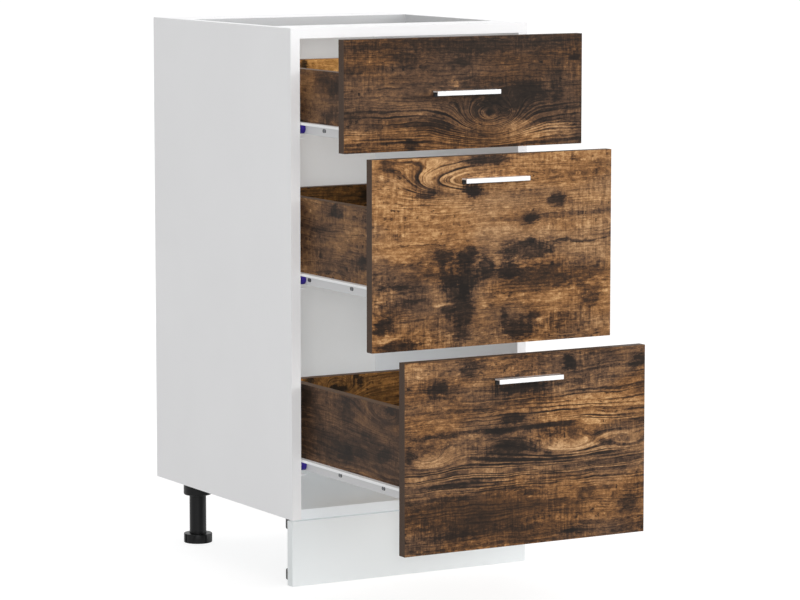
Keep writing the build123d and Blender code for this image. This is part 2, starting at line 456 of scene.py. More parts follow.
FRONT_PRINTS = {
    "top": OakPrint(
        seed=3.0, shade=0.42, lines=0.30, spacing=5.5,
        patches=(
            Patch(0, 70, 240, 15, -0.20), Patch(-145, 12, 62, 26, 0.07), Patch(-15, 12, 9, 5, 0.40),
            Patch(88, -8, 62, 22, -0.28), Patch(48, -22, 22, 13, -0.26), Patch(112, -2, 22, 13, -0.20),
            Patch(-57, -40, 36, 12, -0.24), Patch(128, -56, 62, 14, 0.32), Patch(-91, -73, 13, 7, -0.45),
            Patch(184, 50, 11, 6, -0.45), Patch(-6, 43, 22, 8, -0.25), Patch(-100, 50, 24, 10, -0.22),
            Patch(155, 10, 8, 32, -0.20), Patch(190, -62, 14, 16, -0.25), Patch(-185, -56, 22, 8, 0.22),
            Patch(0, 22, 220, 34, -0.09), Patch(0, -60, 230, 24, 0.17),
        ),
        swirls=(Swirl(42, -35, 50, 27, 58), Swirl(72, -32, 9, 8, 14)),
        bold=(Patch(0, -45, 200, 34, 0.5),),
    ),
    "middle": OakPrint(
        seed=11.0, shade=0.73, lines=0.24, spacing=7.5, grit=1.75, ragged=18.0,
        patches=(
            Patch(-12, 127, 40, 9, -0.50), Patch(-36, 86, 14, 11, -0.85), Patch(-111, 84, 17, 6, -0.50),
            Patch(108, 64, 16, 11, -0.60), Patch(62, 42, 15, 7, -0.46), Patch(58, 44, 44, 9, -0.16),
            Patch(53, -2, 46, 16, -0.58), Patch(-84, -5, 17, 12, -0.50), Patch(-42, -6, 21, 14, -0.54),
            Patch(-75, -30, 14, 21, -0.46), Patch(-44, -38, 18, 28, -0.52), Patch(-58, -54, 26, 15, -0.46),
            Patch(-50, -82, 20, 25, -0.48), Patch(-74, -82, 13, 12, -0.32), Patch(-58, -116, 13, 15, -0.32),
            Patch(-12, -26, 14, 13, -0.54), Patch(26, -29, 20, 14, -0.60), Patch(112, -40, 92, 18, -0.30),
            Patch(-74, -20, 6, 11, 0.40), Patch(-141, -32, 52, 24, -0.24), Patch(-158, -73, 44, 13, -0.26),
            Patch(-179, -98, 18, 14, -0.46), Patch(-154, -131, 38, 10, -0.48), Patch(41, -114, 26, 16, -0.50),
            Patch(66, -97, 11, 7, -0.42), Patch(17, -95, 6, 10, -0.34), Patch(163, -79, 15, 11, -0.30),
            Patch(125, -113, 32, 17, -0.26), Patch(-175, 126, 15, 11, -0.30), Patch(134, 126, 7, 6, -0.30),
            Patch(144, 7, 62, 2, -0.45), Patch(146, -3, 46, 6, 0.14), Patch(-116, 11, 40, 1.6, -0.34),
            Patch(-150, -44, 42, 2, -0.34), Patch(83, -74, 40, 9, 0.20), Patch(-92, -63, 14, 15, 0.16),
            Patch(-23, -75, 10, 24, 0.14), Patch(22, -66, 24, 9, 0.12), Patch(-20, -76, 220, 62, -0.19),
            Patch(-94, 118, 34, 14, 0.24), Patch(-62, 84, 22, 24, 0.14), Patch(128, 106, 66, 24, -0.16),
            Patch(-186, -13, 20, 14, -0.20), Patch(162, -66, 40, 9, -0.16), Patch(80, 14, 60, 8, 0.10),
            Patch(-80, -74, 18, 3, 0.40), Patch(52, -4, 14, 4, 0.26), Patch(78, -103, 12, 3, 0.32),
            Patch(-174, -118, 18, 4, 0.26), Patch(-178, -94, 16, 11, -0.22),
        ),
        swirls=(Swirl(-26, 98, 108, 25, 78, 0.22),),
        bold=(Patch(-96, 100, 62, 36, 0.62), Patch(120, 80, 90, 40, 0.12)),
    ),
    "bottom": OakPrint(
        seed=23.0, shade=0.57, lines=0.36, spacing=6.5, clouds=0.9, grit=1.9, ragged=20.0,
        patches=(
            Patch(-182, 121, 18, 12, 0.12), Patch(-144, 94, 21, 13, -0.58), Patch(-96, 121, 16, 8, -0.38),
            Patch(-10, 87, 46, 10, -0.58), Patch(70, 116, 11, 9, -0.72), Patch(-22, 44, 21, 9, -0.54),
            Patch(-47, 27, 18, 8, -0.32), Patch(-24, 4, 46, 12, -0.46), Patch(50, 23, 24, 7, -0.32),
            Patch(135, 2, 26, 5, -0.34), Patch(40, -12, 18, 4, -0.36), Patch(75, -1, 48, 11, 0.30),
            Patch(105, 50, 92, 24, 0.22), Patch(-157, -3, 28, 11, 0.30), Patch(-150, 27, 42, 2.5, -0.36),
            Patch(-127, -47, 60, 5, 0.18), Patch(-70, -84, 140, 34, -0.26), Patch(-120, -104, 70, 16, -0.16),
            Patch(101, -71, 14, 10, -0.28), Patch(168, -92, 18, 14, -0.30), Patch(75, -121, 14, 5, -0.44),
            Patch(127, -108, 42, 11, 0.14), Patch(185, 115, 14, 9, -0.40), Patch(-190, 2, 8, 10, -0.35),
            Patch(10, -32, 230, 14, 0.10), Patch(-24, 52, 42, 52, -0.08), Patch(120, 14, 80, 30, 0.08),
            Patch(70, 122, 150, 16, -0.14), Patch(186, 100, 18, 22, -0.16), Patch(0, 60, 64, 12, 0.10),
            Patch(60, 14, 26, 6, -0.14), Patch(108, -12, 34, 10, 0.18), Patch(-122, -14, 44, 8, -0.16),
            Patch(60, -64, 170, 12, 0.10), Patch(-20, -120, 210, 16, -0.16), Patch(-182, -91, 30, 14, -0.14),
        ),
        swirls=(Swirl(66, 0, 66, 16, 22), Swirl(-158, -3, 36, 14, 18), Swirl(176, -4, 30, 10, 14)),
        bold=(Patch(0, -30, 230, 22, 1.15), Patch(90, 50, 150, 40, 0.42)),
        calm=(Patch(-40, -92, 130, 36, -0.75),),
    ),
}

SIDE_PRINTS = {
    "top": OakPrint(seed=41.0, shade=0.39, lines=0.16, clouds=1.7, grit=1.2, cast=0.1, patches=(
        Patch(-127, -14, 26, 12, -0.30), Patch(-139, 22, 12, 12, -0.20), Patch(-50, 25, 36, 22, 0.14))),
    "middle": OakPrint(seed=53.0, shade=0.52, lines=0.26, clouds=1.7, grit=1.45, cast=0.1, patches=(
        Patch(-63, 50, 16, 11, -0.35), Patch(-141, -18, 22, 14, -0.30), Patch(4, 20, 9, 3, -0.30),
        Patch(-17, -19, 5, 4, -0.40), Patch(-120, 22, 40, 14, 0.14))),
    "bottom": OakPrint(seed=67.0, shade=0.36, lines=0.26, clouds=1.6, grit=1.1, cast=0.16, swirls=(
        Swirl(-110, 48, 60, 22, 40),), patches=(
        Patch(-2, 39, 20, 18, -0.26), Patch(-128, 55, 16, 7, -0.34), Patch(-5, -20, 12, 10, -0.30),
        Patch(-108, -10, 22, 12, -0.30), Patch(40, -58, 60, 8, 0.12))),
}

BACK_PRINTS = {
    "top": OakPrint(seed=71.0, shade=0.86, lines=0.16, cast=-0.4, patches=(Patch(-52, 40, 8, 8, -0.60),)),
    "middle": OakPrint(seed=83.0, shade=0.36, lines=0.26, cast=-0.4, patches=(Patch(12, 45, 10, 10, -0.35),)),
    "bottom": OakPrint(seed=97.0, shade=0.54, lines=0.40, grit=1.3, cast=-0.4, swirls=(
        Swirl(-84, 42, 30, 16, 40),), patches=(
        Patch(-84, 44, 12, 7, -0.55), Patch(-133, 56, 8, 4, -0.45), Patch(-50, 55, 6, 8, -0.45))),
}


@dataclass(frozen=True)
class Finish:
    """A finish: what it is called and how matt it is."""

    name: str
    roughness: float

    def start(self) -> tuple[Graph, Socket, Socket]:
        """Makes the material and its first nodes.

        Returns:
            The graph, the place on the piece in millimetres, and the normal.
        """
        material = bpy.data.materials.new(self.name)
        material.use_nodes = True
        graph = Graph(material.node_tree)
        where = graph.add("ShaderNodeTexCoord").outputs
        place = graph.add("ShaderNodeMapping", where["Object"], None, None, (1 / MM,) * 3).outputs[0]
        return graph, place, where["Normal"]

    @staticmethod
    def close(g: Graph, looks: dict[str, Feed], height: Socket, relief: tuple[float, float]) -> Material:
        """Feeds the shader.

        Args:
            g: The material's graph.
            looks: What goes into the shader's inputs, by name.
            height: The height of the surface, from 0 to 1.
            relief: How deep a height of 1 is, and how much of it shows.

        Returns:
            The finished material.
        """
        shader = next(node for node in g.tree.nodes if node.type == "BSDF_PRINCIPLED")
        bump = g.add("ShaderNodeBump")
        depth, strength = relief
        for label, value in (("Height", height), ("Distance", depth), ("Strength", strength)):
            g.feed(bump.inputs[label], value)
        for label, value in (*looks.items(), ("Normal", bump.outputs[0])):
            g.feed(shader.inputs[label], value)
        return next(material for material in bpy.data.materials if material.node_tree == g.tree)


@dataclass(frozen=True)
class WhiteBoard(Finish):
    """Melamine-faced chipboard; rear edges may be raw. Painted shade makes it pale grey where it looks into
    the cabinet, and a painted highlight makes its front-facing faces whiter.

    The painted shade gets darker at the height of the top rails, in millimetres.
    """

    raw_rear: bool
    white: Colour = tint(244, 244, 245)
    shade: Colour = tint(242, 242, 243)
    # Painted highlight: faces that look forward get this whiter colour.
    front: Colour = tint(247, 247, 248)
    # Painted shade on faces that look into the cabinet: grey, and darker grey from the top rails' height up.
    inner: Colour = tint(222, 224, 226)
    rail_shade: Colour = tint(197, 199, 201)
    rail_shade_from: tuple[float, float] = (790.0, 800.0)
    chips: tuple[Colour, ...] = (tint(120, 88, 58), tint(176, 142, 100), tint(206, 178, 138))
    gloss: float = 0.35
    relief: tuple[float, float] = (0.04 * MM, 0.25)

    def make(self) -> Material:
        """Builds the material.

        Returns:
            The material.
        """
        g, place, normal = self.start()
        spot, turn = g.parts(place), g.parts(normal)
        skin = g.effect(EFFECTS.peel, Place=place, Grain=0.9)
        white = g.mix(g.ramp(skin["Cloud"], 0.3, 0.7), self.shade, self.white)
        # Painted highlight: front-facing faces are whiter than the rest.
        white = g.mix(g.ramp(turn[1], *AGAINST), white, self.front)
        # Painted shade: faces that look into the cabinet turn grey, darker towards the top rails.
        inner = g.mix(g.ramp(spot[2], *self.rail_shade_from), self.inner, self.rail_shade)
        white = g.mix(self.inside_shade_mask(g, spot, turn), white, inner)
        rough = g.total(g.swing(skin["Height"], 0.12), self.roughness)
        if self.raw_rear:
            flakes = g.add("ShaderNodeTexVoronoi", g.vector("MULTIPLY", place, (0.55, 0.4, 0.55)), None, 1.0)
            tone = g.add("ShaderNodeSeparateColor", flakes.outputs["Color"]).outputs[0]
            tone = g.total(tone, g.swing(g.noise(place, Noise.CHIP_GRIT), 0.6))
            rear = g.ramp(turn[1], *TOWARDS)
            white = g.mix(rear, white, g.colours(tone, (0.05, 0.5, 0.95), self.chips))
            rough = g.total(rough, g.times(rear, 0.3))
        looks = {"Base Color": white, "Roughness": rough, "Specular IOR Level": self.gloss}
        return self.close(g, looks, skin["Height"], self.relief)

    @staticmethod
    def inside_shade_mask(g: Graph, spot: Sequence[Socket], turn: Sequence[Socket]) -> Socket:
        """Tells where painted shade goes: the inner faces of the sides, and the front edge of the rail at the
        back.

        Args:
            g: The material's graph.
            spot: X, Y and Z of the place.
            turn: X, Y and Z of the normal.

        Returns:
            1 on those faces and 0 elsewhere.
        """
        sideways = g.times(turn[0], g.math("SIGN", spot[0]))
        forward = g.times(turn[1], g.ramp(spot[1], 0.0, 100.0))
        return g.ramp(g.total(sideways, forward), *AGAINST)


@dataclass(frozen=True)
class FaceSheet(Finish):
    """Thin hardboard, painted white on the inside and raw on the outside."""

    outside: tuple[float, float, float] = (0.0, 1.0, 0.0)
    paint: Colour = tint(243, 243, 242)
    speck: Colour = tint(226, 226, 224)
    fibres: tuple[Colour, ...] = (tint(132, 98, 66), tint(170, 134, 94), tint(190, 156, 114))
    gloss: float = 0.3
    relief: tuple[float, float] = (0.06 * MM, 0.3)

    def make(self) -> Material:
        """Builds the material.

        Returns:
            The material.
        """
        g, place, normal = self.start()
        skin = g.effect(EFFECTS.peel, Place=place, Grain=0.5)
        hair = g.noise(place, Noise.HAIR)
        tone = g.total(hair, g.swing(skin["Cloud"], 0.5), g.swing(skin["Speck"], -0.12))
        raw = g.colours(tone, (0.3, 0.5, 0.75), self.fibres)
        outer = g.ramp(g.vector("DOT_PRODUCT", normal, self.outside), 0.4, 0.7)
        paint = g.mix(g.times(skin["Speck"], 0.3), self.paint, self.speck)
        looks = {"Base Color": g.mix(outer, paint, raw), "Specular IOR Level": self.gloss,
                 "Roughness": g.total(g.times(outer, 0.25), self.roughness)}
        return self.close(g, looks, hair, self.relief)


@dataclass(frozen=True)
class SmokedOak(Finish):
    """Printed oak with charred patches, and a plain brown band on the edges."""

    run: Run
    centre: tuple[float, float]
    laid: OakPrint
    banded: tuple[bool, bool, bool] = (True, False, True)
    warm: tuple[Colour, ...] = (
        tint(25, 19, 16), tint(42, 31, 24), tint(62, 44, 31), tint(98, 67, 42), tint(150, 106, 65),
        tint(204, 160, 110), tint(226, 188, 140))
    cool: tuple[Colour, ...] = (
        tint(28, 23, 20), tint(44, 35, 29), tint(65, 49, 39), tint(98, 73, 55), tint(140, 104, 71),
        tint(194, 154, 112), tint(216, 180, 140))
    stops: tuple[float, ...] = (-0.4, 0.0, 0.2, 0.42, 0.68, 1.0, 1.3)
    band: tuple[Colour, ...] = (tint(56, 44, 36), tint(86, 68, 56))
    seed_step: tuple[float, float, float] = (811.0, 397.0, 29.0)
    gloss: float = 0.1
    relief: tuple[float, float] = (0.12 * MM, 0.35)

    def place_on_board(self, g: Graph, place: Socket) -> Socket:
        """Turns the place on the piece into along, across and through, from the board's centre.

        Args:
            g: The material's graph.
            place: The place on the piece.

        Returns:
            The place on the board.
        """
        parts = g.parts(place)
        turned = g.join(*(parts[index] for index in self.run.value))
        along, across = self.centre
        return g.vector("SUBTRACT", turned, (along / MM, across / MM, 0.0))

    @staticmethod
    def marks(g: Graph, place: Socket, fray: Socket, patches: Iterable[Patch]) -> list[Socket]:
        """Draws patches.

        Args:
            g: The material's graph.
            place: The place on the board.
            fray: How far the patches' edges are frayed.
            patches: What to draw.

        Returns:
            The shade of each patch, 0 outside it.
        """
        drawn = []
        for patch in patches:
            mask = g.effect(EFFECTS.patch, Place=place, Centre=(patch.along, patch.across, 0.0),
                            Half=(patch.half_length, patch.half_height, 1.0), Fray=fray)[0]
            drawn.append(g.times(mask, patch.shade))
        return drawn

    def make(self) -> Material:
        """Builds the material.

        Returns:
            The material.
        """
        g, place, normal = self.start()
        laid = self.laid
        board = self.place_on_board(g, place)
        x, y, z = (laid.seed * step for step in self.seed_step)
        shifted = g.vector("ADD", board, (x, y, z))
        ragged = g.effect(EFFECTS.ragged, Place=shifted, Reach=laid.ragged)[0]
        ragged = g.vector("SUBTRACT", ragged, (x, y, 0.0))
        rises = [g.effect(EFFECTS.swirl, Place=board, Centre=(s.along, s.across, 0.0),
                          Reach=(s.reach_along, s.reach_across, 1.0), Tail=s.tail, Height=s.rise)[0]
                 for s in laid.swirls]
        grain = g.effect(EFFECTS.oak, Place=shifted, Rise=g.total(0.0, *rises), Spacing=laid.spacing)
        bold, calm, patches = (self.marks(g, ragged, grain["Fray"], row)
                               for row in (laid.bold, laid.calm, laid.patches))
        texture = g.total(g.swing(grain["Mottle"], 0.75), g.swing(grain["Fibre"], 0.36),
                          g.swing(grain["Saw"], 0.46), g.times(grain["Fleck"], -0.34))
        tone = g.total(
            laid.shade,
            g.swing(grain["Cloud"], laid.clouds),
            g.times(texture, g.total(laid.grit, *calm)),
            g.times(g.times(grain["Lines"], g.total(laid.lines, *bold)), -0.85),
            *patches,
        )
        cast = g.ramp(g.total(g.noise(shifted, Noise.CAST), laid.cast), 0.4, 0.62)
        low, reach = self.stops[0], self.stops[-1] - self.stops[0]
        share = g.math("DIVIDE", g.math("SUBTRACT", tone, low), reach)
        stops = [(stop - low) / reach for stop in self.stops]
        face = g.mix(cast, *(g.colours(share, stops, row) for row in (self.warm, self.cool)))
        rim = g.colours(g.total(0.5, g.swing(grain["Fibre"], 1.2)), (0.2, 0.8), self.band)
        sides = g.parts(g.vector("ABSOLUTE", normal))
        on_rim = g.total(*(side for side, banded in zip(sides, self.banded) if banded))
        looks = {"Base Color": g.mix(g.ramp(on_rim, *TOWARDS), face, rim), "Specular IOR Level": self.gloss,
                 "Roughness": g.total(self.roughness, g.swing(grain["Fibre"], 0.2))}
        pores = g.total(g.times(grain["Fibre"], 0.6), g.times(grain["Lines"], -0.4))
        return self.close(g, looks, pores, self.relief)


@dataclass(frozen=True)
class Moulded(Finish):
    """Moulded plastic with a fine sparked grain."""

    colour: Colour
    worn: Colour
    grain: float = 2.2
    gloss: float = 0.14
    relief: tuple[float, float] = (0.05 * MM, 0.4)

    def make(self) -> Material:
        """Builds the material.

        Returns:
            The material.
        """
        g, place, _ = self.start()
        skin = g.effect(EFFECTS.peel, Place=place, Grain=self.grain)
        scuff = g.times(g.ramp(skin["Cloud"], 0.35, 0.8), 0.6)
        looks = {"Base Color": g.mix(scuff, self.colour, self.worn), "Specular IOR Level": self.gloss,
                 "Roughness": g.total(g.swing(skin["Height"], 0.2), self.roughness)}
        return self.close(g, looks, skin["Height"], self.relief)


@dataclass(frozen=True)
class CoatedSteel(Finish):
    """Sheet steel under white powder paint, with a painted shade that turns the recessed web grey far in the
    runner.

    Where the painted shade starts goes by the distance from the cabinet's middle, in millimetres.
    """

    paint: Colour = tint(248, 248, 248)
    dip: Colour = tint(238, 239, 240)
    # Grey painted shade of the recessed web, and the distances from the middle where it starts.
    web_shade: Colour = tint(210, 210, 211)
    web_shade_from: tuple[float, float] = (179.0, 175.0)
    gloss: float = 0.2
    relief: tuple[float, float] = (0.06 * MM, 0.35)

    def make(self) -> Material:
        """Builds the material.

        Returns:
            The material.
        """
        g, place, normal = self.start()
        skin = g.effect(EFFECTS.peel, Place=place, Grain=1.4)
        coat = g.mix(g.ramp(skin["Height"], 0.35, 0.65), self.dip, self.paint)
        out, web = (g.math("ABSOLUTE", g.parts(value)[0]) for value in (place, normal))
        # Painted shade: web faces far in the runner turn grey.
        inside = g.times(g.ramp(out, *self.web_shade_from), g.ramp(web, 0.6, 0.9))
        looks = {"Base Color": g.mix(inside, coat, self.web_shade), "Specular IOR Level": self.gloss,
                 "Roughness": g.total(g.swing(skin["Height"], 0.15), self.roughness)}
        return self.close(g, looks, skin["Height"], self.relief)


@dataclass(frozen=True)
class ZincPlate(Finish):
    """Zinc plate with a fine even grain."""

    colour: Colour = tint(150, 152, 156)
    dull: Colour = tint(104, 106, 110)
    metal: float = 1.0
    relief: tuple[float, float] = (0.02 * MM, 0.2)

    def make(self) -> Material:
        """Builds the material.

        Returns:
            The material.
        """
        g, place, _ = self.start()
        grain = g.noise(place, Noise.PLATE)
        skin = g.effect(EFFECTS.peel, Place=place, Grain=0.7)
        rough = g.total(self.roughness, g.swing(grain, 0.1), g.swing(skin["Cloud"], 0.08))
        looks = {"Base Color": g.mix(g.ramp(grain, 0.35, 0.7), self.colour, self.dull),
                 "Roughness": rough, "Metallic": self.metal}
        return self.close(g, looks, grain, self.relief)


@dataclass(frozen=True)
class PulledBar(Finish):
    """A bright plated bar that is drawn along X; painted shade darkens what lies behind the lip and under the
    top, and its top faces carry a painted reflection.

    The soft steps from the lip and from the top are in thicknesses of the wall.
    """

    lip: float
    top: float
    wall: float = 1.6 * MM
    behind: tuple[float, float] = (1.2, 1.5)
    under: tuple[float, float] = (1.05, 1.3)
    # Where the painted reflection of the lip's dark back lies on the top, in thicknesses of the wall.
    reflection_from: tuple[float, float] = (0.9, 1.6)
    reflection_to: tuple[float, float] = (3.6, 2.6)
    bright: Colour = tint(253, 253, 253)
    streak: Colour = tint(240, 241, 242)
    # Painted reflections on the top faces: a greyer tone, and a dark band that mirrors the lip's back.
    polished: Colour = tint(246, 246, 247)
    lip_reflection: Colour = tint(58, 58, 60)
    # Tones of the painted shade behind the lip and under the top.
    plain: tuple[Colour, ...] = (tint(26, 26, 27), tint(52, 52, 54))
    metal: float = 0.5
    relief: tuple[float, float] = (0.02 * MM, 0.2)

    def make(self) -> Material:
        """Builds the material.

        Returns:
            The material.
        """
        g, place, normal = self.start()
        lines = g.noise(place, Noise.DRAWN)
        bar = g.mix(g.ramp(lines, 0.4, 0.75), self.bright, self.streak)
        # Mottled painted shade for what lies behind the lip and under the top.
        shade_tone = g.mix(g.ramp(g.noise(place, Noise.UNPLATED), 0.3, 0.7), *self.plain)
        _, y, z = g.parts(place)
        back = g.math("SUBTRACT", y, self.lip / MM)
        down = g.math("SUBTRACT", self.top / MM, z)
        behind, under, reflection_from, reflection_to = (
            g.ramp(depth, *(step * self.wall / MM for step in steps))
            for depth, steps in ((back, self.behind), (down, self.under), (back, self.reflection_from),
                                 (back, self.reflection_to)))
        # Painted shade behind the lip and under the top.
        dark = g.times(behind, under)
        # Painted reflection on the top faces.
        top = g.mix(g.times(reflection_from, reflection_to), self.polished, self.lip_reflection)
        bar = g.mix(g.ramp(g.parts(normal)[2], 0.7, 0.9), bar, top)
        rough = g.total(self.roughness, g.swing(lines, 0.1), g.times(dark, 0.3))
        looks = {"Base Color": g.mix(dark, bar, shade_tone), "Roughness": rough, "Metallic": self.metal}
        return self.close(g, looks, lines, self.relief)


def dress(names: Iterable[str], material: Material) -> None:
    """Gives CAD nodes a finish.

    Args:
        names: The nodes' names.
        material: What goes into all their material slots.
    """
    for name in names:
        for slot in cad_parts[name].material_slots:
            slot.material = material
        log.info("dressed %s in %s", name, material.name)


class Part(Enum):
    """Parts of a mesh that are selected: each by Blender's select mode and the mesh's own list."""

    FACE = "polygons"
    EDGE = "edges"
    VERT = "vertices"


class Bench:
    """Hand tools for one piece at a time, the active one."""

    @staticmethod
    def clear() -> None:
        """Goes back to object mode with nothing selected."""
        if bpy.context.mode != "OBJECT":
            bpy.ops.object.mode_set(mode="OBJECT")
        bpy.ops.object.select_all(action="DESELECT")

    @staticmethod
    def cylinder(radius: float, low: float, high: float, sides: int,
                 turn: tuple[float, float, float] = (0, 0, 0)) -> Piece:
        """Adds a cylinder on the Z axis, or turned off it about the origin.

        Args:
            radius: Its radius.
            low: Where it starts on its axis.
            high: Where it ends.
            sides: How many sides it has.
            turn: The turn from the Z axis, in radians.

        Returns:
            The active piece, with its place in its mesh.
        """
        Bench.clear()
        bpy.ops.mesh.primitive_cylinder_add(vertices=sides, radius=radius, depth=high - low,
                                            location=(0, 0, (low + high) / 2))
        bpy.ops.object.transform_apply(location=True, rotation=True, scale=True)
        if any(turn):
            bpy.context.object.rotation_euler = turn
            bpy.ops.object.transform_apply(location=True, rotation=True, scale=True)
        return bpy.context.object

    @staticmethod
    def pick(part: Part, test: Callable[..., bool]) -> None:
        """Selects parts of the piece's mesh, and goes into edit mode.

        Args:
            part: Which kind of part.
            test: Tells the parts to select.
        """
        bpy.ops.object.mode_set(mode="EDIT")
        bpy.ops.mesh.select_mode(type=part.name)
        bpy.ops.mesh.select_all(action="DESELECT")
        bpy.ops.object.mode_set(mode="OBJECT")
        for item in getattr(bpy.context.object.data, part.value):
            item.select = test(item)
        bpy.ops.object.mode_set(mode="EDIT")

    @staticmethod
    def faces(test: Callable[[Vector, Vector], bool]) -> None:
        """Selects faces by centre and normal."""
        Bench.pick(Part.FACE, lambda face: test(face.center, face.normal))

    @staticmethod
    def edges(test: Callable[[Vector, Vector], bool]) -> None:
        """Selects edges by their two ends."""
        mesh = bpy.context.object.data
        Bench.pick(Part.EDGE, lambda edge: test(*(mesh.vertices[index].co for index in edge.vertices)))

    @staticmethod
    def ring(level: float, inner: float = 0.0, outer: float = math.inf) -> None:
        """Selects edges that lie at a height, between two distances from the Z axis."""
        Bench.edges(lambda *ends: all(abs(end.z - level) < NEAR and inner <= end.xy.length <= outer
                                      for end in ends))

    @staticmethod
    def points(test: Callable[[Vector], bool]) -> None:
        """Selects vertices by place."""
        Bench.pick(Part.VERT, lambda point: test(point.co))

    @staticmethod
    def press(depth: float) -> None:
        """Extrudes the selected faces along their normals, or into the piece below 0."""
        bpy.ops.mesh.extrude_region_shrink_fatten(TRANSFORM_OT_shrink_fatten={"value": depth})

    @staticmethod
    def inset(thickness: float, depth: float = 0.0) -> None:
        """Insets the selected faces and moves what is inside along its normal.

        Args:
            thickness: How far in from the faces' edges.
            depth: How far what is inside moves.
        """
        bpy.ops.mesh.inset(thickness=thickness, depth=0.0)
        if depth:
            Bench.press(depth)

    @staticmethod
    def bevel(offset: float, segments: int = 3) -> None:
        """Rounds the selected edges."""
        bpy.ops.mesh.bevel(offset=offset, segments=segments, profile=0.5, affect="EDGES", clamp_overlap=True)

    @staticmethod
    def done(smooth: float = 40.0) -> Piece:
        """Leaves edit mode and shades the piece smooth.

        Args:
            smooth: The angle up to which edges are smooth, in degrees.

        Returns:
            The piece.
        """
        if bpy.context.mode != "OBJECT":
            bpy.ops.object.mode_set(mode="OBJECT")
        bpy.ops.object.shade_smooth_by_angle(angle=math.radians(smooth))
        return bpy.context.object

    @staticmethod
    def copies(pattern: Piece, places: Sequence[Matrix], name: str) -> Piece:
        """Copies a modelled pattern to places and joins the copies into one piece.

        Args:
            pattern: The piece to copy.
            places: Where each copy goes.
            name: The joined piece's name.

        Returns:
            The joined piece, at the origin.
        """
        Bench.clear()
        made = []
        for place in places:
            copy = bpy.data.objects.new(name, pattern.data.copy())
            copy.data.transform(place)
            bpy.context.scene.collection.objects.link(copy)
            copy.select_set(True)
            made.append(copy)
        bpy.context.view_layer.objects.active = made[0]
        if len(made) > 1:
            bpy.ops.object.join()
        piece = bpy.context.object
        piece.name = name
        piece.data.name = name
        return piece

    @staticmethod
    def bin(*patterns: Piece) -> None:
        """Throws patterns away once they are copied."""
        for pattern in patterns:
            bpy.data.objects.remove(pattern)


def fit(piece: Piece, body: str, slot: str, material: Material, *nodes: str) -> None:
    """Finishes a piece: its material, its body and the nodes that it stands for.

    Args:
        piece: The modelled piece.
        body: The CAD body that it moves with.
        slot: The record's material slot; not used.
        material: Its finish.
        nodes: CAD nodes that it replaces.
    """
    piece.data.materials.clear()
    piece.data.materials.append(material)
    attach(piece, body)
    if nodes:
        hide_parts(*nodes)
    log.info("fitted %s on %s", piece.name, body)


def facing(point: Vector | Sequence[float], out: Sequence[float]) -> Matrix:
    """Gives the place of a pattern whose Z axis is to point out of a surface.

    Args:
        point: Where its origin goes.
        out: Where its Z axis points.

    Returns:
        The matrix of that place.
    """
    return Matrix.Translation(point) @ Vector(out).to_track_quat("Z", "Y").to_matrix().to_4x4()


def lengthwise(point: Sequence[float], out: Sequence[float]) -> Matrix:
    """Gives the place of a pattern that faces out sideways, with its X axis along the drawer.

    Args:
        point: Where its origin goes.
        out: Where its Z axis points, along X or against it.

    Returns:
        The matrix of that place.
    """
    z_axis, x_axis = Vector(out), Vector((0, 1, 0))
    turn = Matrix((x_axis, z_axis.cross(x_axis), z_axis)).transposed().to_4x4()
    return Matrix.Translation(point) @ turn


@dataclass
class CrossHead:
    """The head of a screw or cam with a cross recess, its seat at the origin and facing +Z.

    The rim round the recess and the reach of the cross are shares of the radius.
    """

    radius: float
    height: float
    slot: float
    depth: float
    sides: int = 24
    rim: float = 0.22
    cross: float = 0.72

    def model(self) -> Piece:
        """Models the head: a bevelled disc whose top is cut across and pressed in.

        Returns:
            The head, as a pattern.
        """
        Bench.cylinder(self.radius, -self.height, self.height, self.sides)
        Bench.edges(lambda a, b: min(a.z, b.z) > self.height * 0.9)
        Bench.bevel(min(self.height, self.radius) * 0.7)
        Bench.faces(lambda c, n: n.z > FLAT)
        Bench.inset(self.radius * self.rim)
        for axis in ((1, 0, 0), (0, 1, 0)):
            for side in SIDES.values():
                Bench.faces(lambda c, n: n.z > FLAT and c.xy.length < self.radius * 0.8)
                bpy.ops.mesh.bisect(plane_co=Vector(axis) * side * self.slot / 2, plane_no=axis)
        half = self.slot / 2 * 1.05
        Bench.faces(lambda c, n: n.z > FLAT and c.xy.length < self.radius * self.cross
                    and min(abs(c.x), abs(c.y)) < half)
        Bench.press(-self.depth)
        return Bench.done(35)


@dataclass
class SlottedHole:
    """A long hole in a sheet, shown by a dark disc that stands in for the shade inside it; its length runs
    along X.

    The rim is a share of the width.
    """

    length: float
    width: float
    rise: float = 0.08 * MM
    sides: int = 24
    rim: float = 0.08

    def model(self) -> Piece:
        """Models the disc of painted shade: a disc pulled long, with a sunk middle.

        Returns:
            The floor, as a pattern.
        """
        Bench.cylinder(self.width / 2, -self.rise, self.rise, self.sides)
        stretch = (self.length - self.width) / 2
        for side in SIDES.values():
            Bench.points(lambda p: p.x * side > self.width * 0.02)
            bpy.ops.transform.translate(value=(side * stretch, 0, 0))
        Bench.faces(lambda c, n: n.z > FLAT)
        Bench.inset(self.width * self.rim, -self.rise / 2)
        return Bench.done()


